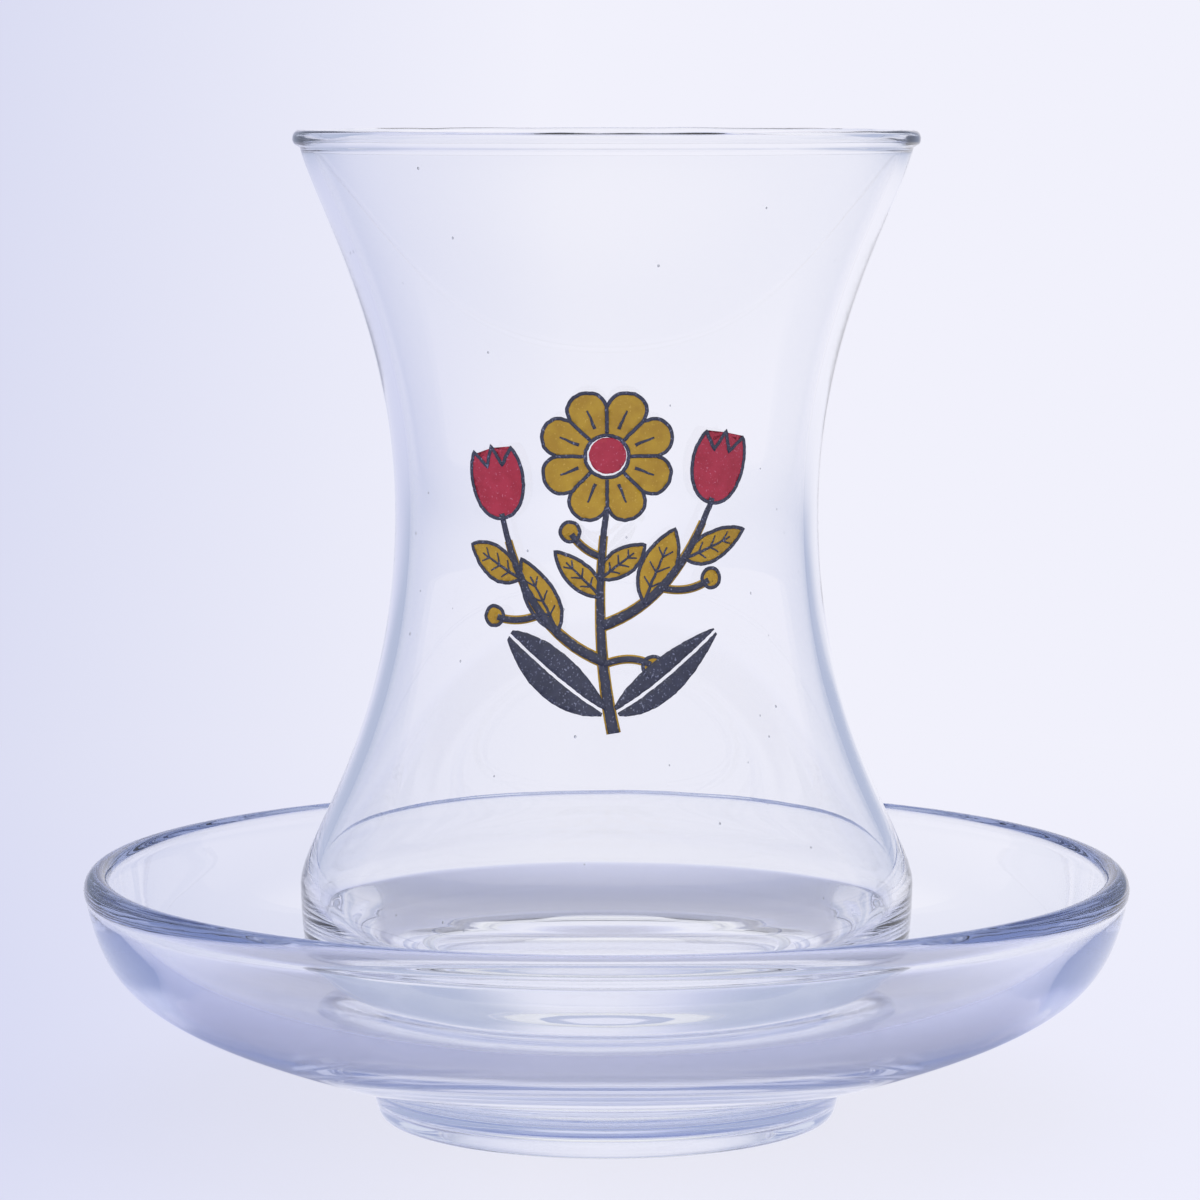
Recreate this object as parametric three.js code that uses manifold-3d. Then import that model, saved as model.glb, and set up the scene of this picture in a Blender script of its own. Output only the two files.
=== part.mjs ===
// Waisted tea glass standing in its glass saucer, with a three-colour floral print fired on the glass.
// Millimetres, +Z up. The origin is the centre of the saucer's foot, on the table; the print faces -Y.

import * as THREE from 'three';
import { TessellateModifier } from 'three/addons/modifiers/TessellateModifier.js';
import { mergeVertices } from 'three/addons/utils/BufferGeometryUtils.js';
import Module from 'manifold-3d';

const wasm = await Module();
wasm.setup();

// Saucer: overall sizes, then the foot, the floor and the well that takes the glass.
const SAUCER_DIAMETER = 110;
const SAUCER_HEIGHT = 26.5;
const SAUCER_LIP = 2.6;
const LIP_CREST = 1.6;
const LIP_ROUND_OUTSIDE = 1.8;
const LIP_ROUND_INSIDE = 1.2;
const LIP_PROUD = 0.2;
const LIP_UNDERCUT = 0.9;
const FOOT_TOP_DIAMETER = 50;
const FOOT_HEIGHT = 3.8;
const FOOT_TAPER = 0.8;
const FOOT_RING_WIDTH = 3.4;
const FOOT_EDGE = 0.5;
const RECESS_DEPTH = 2.2;
const RECESS_SLOPE = 0.9;
const FLOOR_THICKNESS = 5.6;
const WELL_DEPTH = 0.9;
const WELL_CLEARANCE = 1.0;
const WELL_RAMP = 1.2;

// Saucer wall: how far its underside and inside run out before they turn up to the lip, and lean there.
const UNDERSIDE_RUN = 25.0;
const UNDERSIDE_RISE = 8.0;
const INSIDE_RUN = 18.7;
const INSIDE_RISE = 4.8;
const LIP_DROP_OUTSIDE = 9.6;
const LIP_DROP_INSIDE = 8.75;
const LIP_FLARE_OUTSIDE = 0.23;
const LIP_FLARE_INSIDE = 0.21;

// Glass: heights are measured from its own base.
const GLASS_HEIGHT = 95.7;
const MOUTH_DIAMETER = 65.4;
const BEAD_RADIUS = 1.0;
const BEAD_PROUD = 0.8;
const BEAD_UNDERCUT = 0.7;
const WAIST_DIAMETER = 44.35;
const WAIST_HEIGHT = 55.9;
const BELLY_DIAMETER = 64.6;
const BELLY_HEIGHT = 16.7;
const BASE_DIAMETER = 50;
const BASE_RING_WIDTH = 4.5;
const PUSH_UP = 0.9;
const SHAM = 9.2;
const FLOOR_RADIUS = 17;
const WALL_AT_RIM = 1.25;
const WALL_AT_WAIST = 1.55;
const WALL_AT_BELLY = 1.7;
const SEAT_GAP = 0.3;

// Glass wall: reach of each curve's handle, from the point it leaves towards the next.
const HEEL_REACH_OUT = 4.4;
const HEEL_REACH_DOWN = 10.2;
const BELLY_REACH = 4.8;
const WAIST_REACH_DOWN = 23.3;
const WAIST_REACH_UP = 19.2;
const FLARE_REACH = 6.5;
const FLARE_LEAN = 0.26;
const INNER_FOLD_HEIGHT = 13.3;
const INNER_FOLD_PULL = 0.5;
const INNER_HEEL_RUN = 8.0;

// Print: its centre height on the glass, the square of its drawing's grid, the ink films and the motifs.
const PRINT_HEIGHT = 52.9;
const PRINT_GRID = 1.0;
const INK_THICKNESS = 0.12;
const INK_GAP = 0.06;
const INK_EDGE = 2.4;
const STEM_WIDTH = 1.0;
const STEM_TIP_WIDTH = 0.6;
const UNDERPRINT_MARGIN = 0.3;
const RIB_WIDTH = 0.5;
const BERRY_RADIUS = 1.0;
const PETAL_COUNT = 8;
const BLOOM_RADIUS = 6.8;
const PETAL_HALF_WIDTH = 2.5;
const EYE_RADIUS = 1.9;
const EYE_GAP = 0.25;
const BLOOM_OVERLAP = 1.6;
const BLOOM_GAP = 0.25;
const BUD_LENGTH = 7.4;
const BUD_HALF_WIDTH = 2.9;
const BUD_OVERLAP = 0.5;

// Share of a quarter ellipse's axis that the handles of its curve reach.
const ROUND_HANDLE = 0.5523;

// Facets: round the axis, along each curve of an outline, and along each curve of the print.
const ROUND_STEPS = 48;
const CURVE_STEPS = 7;
const INK_STEPS = 5;

// Places that several pieces share.
const WELL_FLOOR_Z = RECESS_DEPTH + FLOOR_THICKNESS;
const WELL_RADIUS = BASE_DIAMETER / 2 + WELL_CLEARANCE;
const GLASS_SEAT_Z = WELL_FLOOR_Z + SEAT_GAP;
const WAIST_RADIUS = WAIST_DIAMETER / 2;
const BELLY_RADIUS = BELLY_DIAMETER / 2;
const WALL_TOP_R = MOUTH_DIAMETER / 2 - BEAD_PROUD;
const WALL_TOP_Z = GLASS_HEIGHT - BEAD_RADIUS - BEAD_UNDERCUT;

const CLEAR_SAUCER_GLASS = new THREE.MeshStandardMaterial({
  color: 0xdde6f4, roughness: 0.05, metalness: 0, transparent: true, opacity: 0.35,
});
const CLEAR_GLASS = new THREE.MeshStandardMaterial({
  color: 0xe6e9f8, roughness: 0.04, metalness: 0, transparent: true, opacity: 0.35,
});
const GOLD_INK = new THREE.MeshStandardMaterial({ color: 0xb8901f, roughness: 0.45, metalness: 0 });
const RED_INK = new THREE.MeshStandardMaterial({ color: 0xb02a38, roughness: 0.45, metalness: 0 });
const CHARCOAL_INK = new THREE.MeshStandardMaterial({ color: 0x3a3b48, roughness: 0.5, metalness: 0 });

/** A solid of revolution about Z from a path of radius and height that starts and ends on the axis. */
function turned(path) {
  const geometry = new THREE.LatheGeometry(path.getPoints(CURVE_STEPS), ROUND_STEPS);
  return geometry.rotateX(Math.PI / 2);
}

/** Carries a path over a rounded lip, from its outside over its crest to its inside. */
function overLip(path, lip) {
  const crest = lip.outside - lip.crest;
  const inside = lip.outside - lip.width;
  path.lineTo(lip.outside, lip.top - lip.roundOutside);
  path.bezierCurveTo(
    lip.outside, lip.top - (1 - ROUND_HANDLE) * lip.roundOutside,
    crest + ROUND_HANDLE * lip.crest, lip.top,
    crest, lip.top,
  );
  path.bezierCurveTo(
    crest - ROUND_HANDLE * (lip.width - lip.crest), lip.top,
    inside, lip.top - (1 - ROUND_HANDLE) * lip.roundInside,
    inside, lip.top - lip.roundInside,
  );
}

/** Saucer: tapered foot ring, rising dish with a rounded lip, and a shallow well in the middle. */
function saucer() {
  const outside = SAUCER_DIAMETER / 2;
  const inside = outside - SAUCER_LIP;
  const undersideEnd = SAUCER_HEIGHT - LIP_ROUND_OUTSIDE - LIP_UNDERCUT;
  const insideStart = SAUCER_HEIGHT - LIP_ROUND_INSIDE;
  const footTop = FOOT_TOP_DIAMETER / 2;
  const footBottom = footTop - FOOT_TAPER;
  const recessEdge = footBottom - FOOT_RING_WIDTH;
  const dishStartR = WELL_RADIUS + WELL_RAMP;
  const dishStartZ = WELL_FLOOR_Z + WELL_DEPTH;
  const path = new THREE.Path();
  path.moveTo(0, RECESS_DEPTH);
  path.lineTo(recessEdge - RECESS_SLOPE, RECESS_DEPTH);
  path.lineTo(recessEdge, 0);
  path.lineTo(footBottom - FOOT_EDGE, 0);
  path.lineTo(footBottom, FOOT_EDGE);
  path.lineTo(footTop, FOOT_HEIGHT);
  path.bezierCurveTo(
    footTop + UNDERSIDE_RUN, FOOT_HEIGHT + UNDERSIDE_RISE,
    outside - LIP_FLARE_OUTSIDE * LIP_DROP_OUTSIDE, undersideEnd - LIP_DROP_OUTSIDE,
    outside - LIP_PROUD, undersideEnd,
  );
  overLip(path, {
    outside,
    top: SAUCER_HEIGHT,
    crest: LIP_CREST,
    width: SAUCER_LIP,
    roundOutside: LIP_ROUND_OUTSIDE,
    roundInside: LIP_ROUND_INSIDE,
  });
  path.bezierCurveTo(
    inside - LIP_FLARE_INSIDE * LIP_DROP_INSIDE, insideStart - LIP_DROP_INSIDE,
    dishStartR + INSIDE_RUN, dishStartZ + INSIDE_RISE,
    dishStartR, dishStartZ,
  );
  path.lineTo(WELL_RADIUS, WELL_FLOOR_Z);
  path.lineTo(0, WELL_FLOOR_Z);
  const mesh = new THREE.Mesh(turned(path), CLEAR_SAUCER_GLASS);
  mesh.name = 'saucer';
  return mesh;
}

/** The glass's outside wall, from the edge of its base up to the bead. */
function outsideWall(path) {
  const base = BASE_DIAMETER / 2;
  path.lineTo(base, 0);
  path.bezierCurveTo(
    base + HEEL_REACH_OUT, 0,
    BELLY_RADIUS, BELLY_HEIGHT - HEEL_REACH_DOWN,
    BELLY_RADIUS, BELLY_HEIGHT,
  );
  path.bezierCurveTo(
    BELLY_RADIUS, BELLY_HEIGHT + BELLY_REACH,
    WAIST_RADIUS, WAIST_HEIGHT - WAIST_REACH_DOWN,
    WAIST_RADIUS, WAIST_HEIGHT,
  );
  path.bezierCurveTo(
    WAIST_RADIUS, WAIST_HEIGHT + WAIST_REACH_UP,
    WALL_TOP_R - FLARE_LEAN * FLARE_REACH, WALL_TOP_Z - FLARE_REACH,
    WALL_TOP_R, WALL_TOP_Z,
  );
}

/** The glass's inside wall, from the bead down to the middle of its floor. */
function insideWall(path) {
  const waist = WAIST_RADIUS - WALL_AT_WAIST;
  const belly = BELLY_RADIUS - WALL_AT_BELLY;
  const top = WALL_TOP_R - WALL_AT_RIM;
  path.lineTo(top, WALL_TOP_Z);
  path.bezierCurveTo(
    top - FLARE_LEAN * FLARE_REACH, WALL_TOP_Z - FLARE_REACH,
    waist, WAIST_HEIGHT + WAIST_REACH_UP,
    waist, WAIST_HEIGHT,
  );
  path.bezierCurveTo(
    waist, WAIST_HEIGHT - WAIST_REACH_DOWN,
    belly, BELLY_HEIGHT + BELLY_REACH,
    belly, BELLY_HEIGHT,
  );
  const fold = belly - INNER_FOLD_PULL;
  path.quadraticCurveTo(belly, (BELLY_HEIGHT + INNER_FOLD_HEIGHT) / 2, fold, INNER_FOLD_HEIGHT);
  path.quadraticCurveTo(FLOOR_RADIUS + INNER_HEEL_RUN, SHAM, FLOOR_RADIUS, SHAM);
  path.lineTo(0, SHAM);
}

/** Glass: base with a shallow push-up, heel, belly, waist, flare, round bead and the hollow inside. */
function teaGlass() {
  const ringInside = BASE_DIAMETER / 2 - BASE_RING_WIDTH;
  const path = new THREE.Path();
  path.moveTo(0, PUSH_UP);
  path.lineTo(ringInside - PUSH_UP, PUSH_UP);
  path.lineTo(ringInside, 0);
  outsideWall(path);
  overLip(path, {
    outside: MOUTH_DIAMETER / 2,
    top: GLASS_HEIGHT,
    crest: BEAD_RADIUS,
    width: 2 * BEAD_RADIUS,
    roundOutside: BEAD_RADIUS,
    roundInside: BEAD_RADIUS,
  });
  insideWall(path);
  const mesh = new THREE.Mesh(turned(path), CLEAR_GLASS);
  mesh.name = 'glass';
  return mesh;
}

/** The facets of the glass's outside wall, as points of radius and height. */
function outsideFacets() {
  const path = new THREE.Path();
  path.moveTo(0, 0);
  outsideWall(path);
  return path.getPoints(CURVE_STEPS);
}

/** Radius at a height on those facets. */
function radiusAt(facets, height) {
  const upper = facets.findIndex((point) => point.y >= height);
  const below = facets[upper - 1];
  const above = facets[upper];
  const share = (height - below.y) / (above.y - below.y);
  return THREE.MathUtils.lerp(below.x, above.x, share);
}

/** A closed mesh as a solid for joining and cutting. */
function solid(geometry) {
  const bare = geometry.clone();
  bare.deleteAttribute('normal');
  bare.deleteAttribute('uv');
  const merged = mergeVertices(bare);
  return new wasm.Manifold(new wasm.Mesh({
    numProp: 3,
    vertProperties: new Float32Array(merged.attributes.position.array),
    triVerts: new Uint32Array(merged.index.array),
  }));
}

/** A solid back as a mesh geometry. */
function geometryOf(body) {
  const mesh = body.getMesh();
  const geometry = new THREE.BufferGeometry();
  geometry.setAttribute('position', new THREE.BufferAttribute(new Float32Array(mesh.vertProperties), 3));
  geometry.setIndex(new THREE.BufferAttribute(new Uint32Array(mesh.triVerts), 1));
  return geometry;
}

/** A flat film of ink of one drawn shape. */
function flatInk(shape) {
  return solid(new THREE.ExtrudeGeometry(shape, {
    depth: INK_THICKNESS, bevelEnabled: false, curveSegments: INK_STEPS,
  }));
}

/** Flat films joined to one. */
function joined(films) {
  return films.reduce((whole, film) => whole.add(film));
}

/** Bends a flat film round the outside of the glass, on the given layer of ink, facing -Y. */
function wrapped(film, layer) {
  const fine = new TessellateModifier(INK_EDGE, 40).modify(geometryOf(film).toNonIndexed());
  const geometry = mergeVertices(fine, 1e-4);
  const places = geometry.attributes.position;
  const facets = outsideFacets();
  const lift = INK_GAP + layer * (INK_THICKNESS + INK_GAP);
  for (let i = 0; i < places.count; i += 1) {
    const height = PRINT_HEIGHT + places.getY(i);
    const angle = places.getX(i) / WAIST_RADIUS;
    const radius = radiusAt(facets, height) + lift + places.getZ(i);
    places.setXYZ(i, radius * Math.sin(angle), -radius * Math.cos(angle), height);
  }
  geometry.computeVertexNormals();
  return geometry;
}

/** One named ink piece on the glass. */
function inkPiece(name, film, layer, material) {
  const mesh = new THREE.Mesh(wrapped(film, layer), material);
  mesh.name = name;
  return mesh;
}

// The drawing, in squares of its grid. Stems: start, bend and end, across and up from the print's centre.
const MAIN_STEM = [[0.6, -17.2], [-1.6, -6], [0, 5.2]];
const LEFT_STEM = [[-0.2, -10.2], [-8.4, -7], [-11.0, 4.4]];
const RIGHT_STEM = [[-0.5, -6.6], [7.0, -4], [11.0, 6.0]];

// Berry stalks: the stem and the share of it where each starts, then its bend and end from there.
const BERRY_STALKS = [
  { stem: MAIN_STEM, along: 0.30, bend: [2.8, 1.2], end: [4.8, -0.2] },
  { stem: LEFT_STEM, along: 0.46, bend: [-2.4, -1.2], end: [-5.0, -0.4] },
  { stem: RIGHT_STEM, along: 0.44, bend: [3.0, -0.8], end: [5.4, 0.8] },
  { stem: MAIN_STEM, along: 0.78, bend: [-2.0, 0.6], end: [-3.2, 2.5] },
];

// Leaves: the stem and the share of it where each starts, the way it points in degrees, and its shape.
const DARK_LEAVES = [
  { stem: MAIN_STEM, along: 0.08, points: 152, length: 13.2, halfWidth: 2.1, bend: -2.2 },
  { stem: MAIN_STEM, along: 0.08, points: 27, length: 14.0, halfWidth: 2.2, bend: 2.4 },
];
const GOLD_LEAVES = [
  { stem: LEFT_STEM, along: 0.32, points: 112, length: 8.2, halfWidth: 1.7, bend: 0.9 },
  { stem: LEFT_STEM, along: 0.68, points: 160, length: 6.6, halfWidth: 1.5, bend: -1.0 },
  { stem: RIGHT_STEM, along: 0.30, points: 72, length: 8.0, halfWidth: 1.7, bend: -0.8 },
  { stem: RIGHT_STEM, along: 0.66, points: 12, length: 7.4, halfWidth: 1.6, bend: 1.1 },
  { stem: MAIN_STEM, along: 0.60, points: 128, length: 6.4, halfWidth: 1.4, bend: 0.8 },
  { stem: MAIN_STEM, along: 0.68, points: 44, length: 5.6, halfWidth: 1.3, bend: -0.6 },
];

// Buds: the stem that ends in each, and the way it points in degrees.
const BUDS = [
  { name: 'print_red_bud_left', stem: LEFT_STEM, points: 98 },
  { name: 'print_red_bud_right', stem: RIGHT_STEM, points: 80 },
];

/** A grid point of the drawing in millimetres. */
function onGrid([across, up]) {
  return new THREE.Vector2(across, up).multiplyScalar(PRINT_GRID);
}

/** The curve of a stem through its start, bend and end points. */
function stemCurve(stem) {
  return new THREE.QuadraticBezierCurve(...stem.map(onGrid));
}

/** The point on its stem where a leaf or stalk starts. */
function rootOf({ stem, along }) {
  return stemCurve(stem).getPoint(along);
}

/** The curve of a berry stalk from its stem. */
function stalkCurve(stalk) {
  const root = rootOf(stalk);
  return new THREE.QuadraticBezierCurve(root, onGrid(stalk.bend).add(root), onGrid(stalk.end).add(root));
}

/** The middle of the bloom, above the main stem's end. */
function bloomCentre() {
  return stemCurve(MAIN_STEM).v2.add(new THREE.Vector2(0, BLOOM_RADIUS - BLOOM_OVERLAP));
}

/** A flat film turned from its own axis, which runs along X, and moved to its place in the drawing. */
function placed(film, place, degrees) {
  return film.rotate([0, 0, degrees]).translate([place.x, place.y, 0]);
}

/** A tapered stroke along a curve. */
function strokeShape(line, startWidth, endWidth) {
  const left = [];
  const right = [];
  for (let i = 0; i <= INK_STEPS; i += 1) {
    const along = i / INK_STEPS;
    const half = THREE.MathUtils.lerp(startWidth, endWidth, along) / 2;
    const middle = line.getPoint(along);
    const tangent = line.getTangent(along);
    const side = new THREE.Vector2(-tangent.y, tangent.x).multiplyScalar(half);
    left.push(middle.clone().add(side));
    right.unshift(middle.clone().sub(side));
  }
  return new THREE.Shape([...left, ...right]);
}

/** A pointed leaf along X, whose tip bends sideways. */
function leafShape(leaf) {
  const length = leaf.length * PRINT_GRID;
  const halfWidth = leaf.halfWidth * PRINT_GRID;
  const bend = leaf.bend * PRINT_GRID;
  const near = 0.25 * length;
  const far = 0.7 * length;
  const shape = new THREE.Shape();
  shape.moveTo(0, 0);
  shape.bezierCurveTo(near, -1.4 * halfWidth, far, bend - 1.2 * halfWidth, length, bend);
  shape.bezierCurveTo(far, 0.4 * bend + 1.2 * halfWidth, near, 1.4 * halfWidth, 0, 0);
  return shape;
}

/** One leaf's film on its stem. */
function leafFilm(leaf) {
  return placed(flatInk(leafShape(leaf)), rootOf(leaf), leaf.points);
}

/** The rib of a leaf, from its stem to near its tip. */
function ribFilm(leaf) {
  const { length, bend } = leaf;
  const reach = 0.8;
  const line = stemCurve([[0, 0], [0.45 * length, 0], [reach * length, reach * reach * bend]]);
  return placed(flatInk(strokeShape(line, RIB_WIDTH, RIB_WIDTH / 2)), rootOf(leaf), leaf.points);
}

/** A round disc. */
function discShape(radius) {
  const shape = new THREE.Shape();
  shape.absarc(0, 0, radius, 0, 2 * Math.PI);
  return shape;
}

/** One bud's film at the end of its stem. */
function budFilm(bud) {
  const turn = THREE.MathUtils.degToRad(bud.points);
  const back = new THREE.Vector2(BUD_OVERLAP, 0).rotateAround(new THREE.Vector2(), turn);
  return placed(flatInk(budShape()), stemCurve(bud.stem).v2.sub(back), bud.points);
}

/** Gold layer: leaves, berries and the broad strokes printed under the stems, all one film. */
function goldLeaves() {
  const wide = STEM_WIDTH + UNDERPRINT_MARGIN;
  const slim = STEM_TIP_WIDTH + UNDERPRINT_MARGIN;
  const stems = [MAIN_STEM, LEFT_STEM, RIGHT_STEM].map(stemCurve);
  const strokes = stems.map((line) => flatInk(strokeShape(line, wide, slim)));
  const stalkLines = BERRY_STALKS.map(stalkCurve);
  const stalks = stalkLines.map((line) => flatInk(strokeShape(line, slim, slim)));
  const berries = stalkLines.map((line) => placed(flatInk(discShape(BERRY_RADIUS)), line.v2, 0));
  const film = joined([...strokes, ...stalks, ...berries, ...GOLD_LEAVES.map(leafFilm)]);
  const bloomRoom = placed(flatInk(discShape(BLOOM_RADIUS + BLOOM_GAP)), bloomCentre(), 0);
  const budRoom = BUDS.map(budFilm);
  return inkPiece('print_gold_leaves', film.subtract(joined([bloomRoom, ...budRoom])), 0, GOLD_INK);
}

/** One blunt petal along X, from the bloom's middle. */
function petalShape() {
  const shape = new THREE.Shape();
  const wide = 1.33 * PETAL_HALF_WIDTH;
  shape.moveTo(0, 0);
  shape.bezierCurveTo(0.4 * BLOOM_RADIUS, -0.5 * wide, 0.95 * BLOOM_RADIUS, -wide, BLOOM_RADIUS, 0);
  shape.bezierCurveTo(0.95 * BLOOM_RADIUS, wide, 0.4 * BLOOM_RADIUS, 0.5 * wide, 0, 0);
  return shape;
}

/** Gold bloom: a rosette of petals with a round opening for its eye. */
function goldBloom() {
  const petals = Array.from({ length: PETAL_COUNT }, (_, i) => (
    flatInk(petalShape()).rotate([0, 0, (360 * (i + 0.5)) / PETAL_COUNT])
  ));
  const opening = flatInk(discShape(EYE_RADIUS + EYE_GAP));
  const film = placed(joined(petals).subtract(opening), bloomCentre(), 0);
  return inkPiece('print_gold_bloom', film, 0, GOLD_INK);
}

/** Red eye in the bloom's opening. */
function redEye() {
  return inkPiece('print_red_eye', placed(flatInk(discShape(EYE_RADIUS)), bloomCentre(), 0), 0, RED_INK);
}

/** A closed bud along X with three points at its top. */
function budShape() {
  const shape = new THREE.Shape();
  const swell = 1.3 * BUD_HALF_WIDTH;
  const shoulder = 0.62 * BUD_LENGTH;
  const notch = { along: 0.72 * BUD_LENGTH, aside: 0.3 * BUD_HALF_WIDTH };
  const corner = { along: 0.95 * BUD_LENGTH, aside: 0.75 * BUD_HALF_WIDTH };
  shape.moveTo(0, 0);
  shape.bezierCurveTo(0, -BUD_HALF_WIDTH, shoulder, -swell, corner.along, -corner.aside);
  shape.lineTo(notch.along, -notch.aside);
  shape.lineTo(BUD_LENGTH, 0);
  shape.lineTo(notch.along, notch.aside);
  shape.lineTo(corner.along, corner.aside);
  shape.bezierCurveTo(shoulder, swell, 0, BUD_HALF_WIDTH, 0, 0);
  return shape;
}

/** Two red buds, one at the end of each side stem. */
function redBuds() {
  return BUDS.map((bud) => inkPiece(bud.name, budFilm(bud), 0, RED_INK));
}

/** Charcoal layer over the others: stems, berry stalks, the two long leaves and the ribs, all one film. */
function charcoalStems() {
  const stems = [MAIN_STEM, LEFT_STEM, RIGHT_STEM].map(stemCurve);
  const strokes = stems.map((line) => flatInk(strokeShape(line, STEM_WIDTH, STEM_TIP_WIDTH)));
  const stalks = BERRY_STALKS.map((stalk) => (
    flatInk(strokeShape(stalkCurve(stalk), STEM_TIP_WIDTH, STEM_TIP_WIDTH))
  ));
  const film = joined([...strokes, ...stalks, ...DARK_LEAVES.map(leafFilm), ...GOLD_LEAVES.map(ribFilm)]);
  return inkPiece('print_charcoal_stems', film, 1, CHARCOAL_INK);
}

const glassWithPrint = new THREE.Group();
glassWithPrint.add(teaGlass(), goldLeaves(), goldBloom(), redEye(), ...redBuds(), charcoalStems());
glassWithPrint.position.z = GLASS_SEAT_Z;

const teaSet = new THREE.Group();
teaSet.add(saucer(), glassWithPrint);

export default teaSet;
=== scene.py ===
import math
import random
from bisect import bisect_left

import bmesh
import bpy
from mathutils import Matrix, Vector, noise


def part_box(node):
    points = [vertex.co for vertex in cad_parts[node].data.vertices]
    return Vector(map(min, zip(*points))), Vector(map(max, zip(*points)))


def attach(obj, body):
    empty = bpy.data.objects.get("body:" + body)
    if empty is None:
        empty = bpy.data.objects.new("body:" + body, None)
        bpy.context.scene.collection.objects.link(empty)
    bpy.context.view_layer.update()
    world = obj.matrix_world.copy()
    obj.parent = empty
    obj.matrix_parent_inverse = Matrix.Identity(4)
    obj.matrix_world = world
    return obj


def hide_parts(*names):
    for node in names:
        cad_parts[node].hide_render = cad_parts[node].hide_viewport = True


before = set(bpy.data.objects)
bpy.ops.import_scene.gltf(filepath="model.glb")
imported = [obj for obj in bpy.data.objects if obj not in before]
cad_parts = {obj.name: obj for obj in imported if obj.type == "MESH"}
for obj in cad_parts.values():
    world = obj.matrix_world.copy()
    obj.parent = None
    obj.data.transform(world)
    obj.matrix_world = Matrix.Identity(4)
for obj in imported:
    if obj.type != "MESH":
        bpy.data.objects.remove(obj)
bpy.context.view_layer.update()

# Camera: a long lens a little above the rim of the glass, tipped slightly down, so that the mouth
# and the saucer show as flat ellipses and the print faces the viewer. Light may bounce often enough
# to come out through both pieces of glass.
MM = 0.001
CAMERA_PLACE_MM = (-0.7, -496.0, 107.9)
CAMERA_TIP = math.radians(6.14)
SENSOR_WIDTH_MM = 36
LENS_MM = 142.4
GLASS_BOUNCES = 32

studio = bpy.context.scene
camera_data = bpy.data.cameras.new("camera")
camera_data.sensor_width = SENSOR_WIDTH_MM
camera_data.lens = LENS_MM
camera = bpy.data.objects.new("camera", camera_data)
camera.location = Vector(CAMERA_PLACE_MM) * MM
camera.rotation_euler = (math.pi / 2 - CAMERA_TIP, 0, 0)
studio.collection.objects.link(camera)
studio.camera = camera
studio.view_settings.view_transform = "Standard"
studio.cycles.max_bounces = GLASS_BOUNCES
studio.cycles.glossy_bounces = GLASS_BOUNCES
studio.cycles.transmission_bounces = GLASS_BOUNCES

# Studio sweep: one roll of matt paper that lies as the floor and curves up as the backdrop.
# It is near white at the right and fades to a cool lavender blue at the left. Sizes are in metres.
SWEEP_HALF_WIDTH = 4.0
SWEEP_FRONT = -4.0
SWEEP_BEND_START = 1.3
SWEEP_BEND_RADIUS = 0.5
SWEEP_TOP = 2.5
SWEEP_BEND_STEPS = 16
PAPER_RIGHT = "F1F1FC"
PAPER_LEFT = "D4D7F0"
PAPER_FADE = (-0.15, -0.012)
PAPER_FADE_SPREAD = 0.6
PAPER_PAINTED_SHADE = "C6CCEE"
PAPER_DUSK = "B4BDD7"
PAPER_DUSK_HEIGHT = (0.9, 1.6)
PAPER_DUSK_ASIDE = (0.2, 0.6)
LIT_BY_EYE = 0.9
LIT_BY_EYE_REACH = (0.06, 0.30)
PAINTED_LIGHT_UNDER_FOOT = 1.0
LIT_IN_SHADE = 0.28
SHADE_START = (0.028, 0.034)
SHADE_END = (0.045, 0.09)


def linear(hex_colour):
    """Linear RGBA of an sRGB hex colour."""
    channels = [int(hex_colour[i:i + 2], 16) / 255 for i in (0, 2, 4)]
    return (*[c / 12.92 if c <= 0.04045 else ((c + 0.055) / 1.055) ** 2.4 for c in channels], 1.0)


def add_node(tree, kind, inputs=None, **settings):
    """Adds a shader node with its settings; inputs gives a socket a value, or an output to link."""
    node = tree.nodes.new("ShaderNode" + kind)
    for name, value in settings.items():
        setattr(node, name, value)
    for socket, value in (inputs or {}).items():
        if isinstance(value, bpy.types.NodeSocket):
            tree.links.new(value, node.inputs[socket])
        else:
            node.inputs[socket].default_value = value
    return node


def blank_material(name):
    """A material with an empty node tree."""
    material = bpy.data.materials.new(name)
    material.use_nodes = True
    material.node_tree.nodes.clear()
    return material, material.node_tree


def add_piece(name, mesh_builder, material):
    """A smooth-shaded object from a bmesh, with its material."""
    mesh = bpy.data.meshes.new(name)
    mesh_builder.to_mesh(mesh)
    mesh_builder.free()
    mesh.shade_smooth()
    mesh.materials.append(material)
    piece = bpy.data.objects.new(name, mesh)
    studio.collection.objects.link(piece)
    return piece


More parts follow.
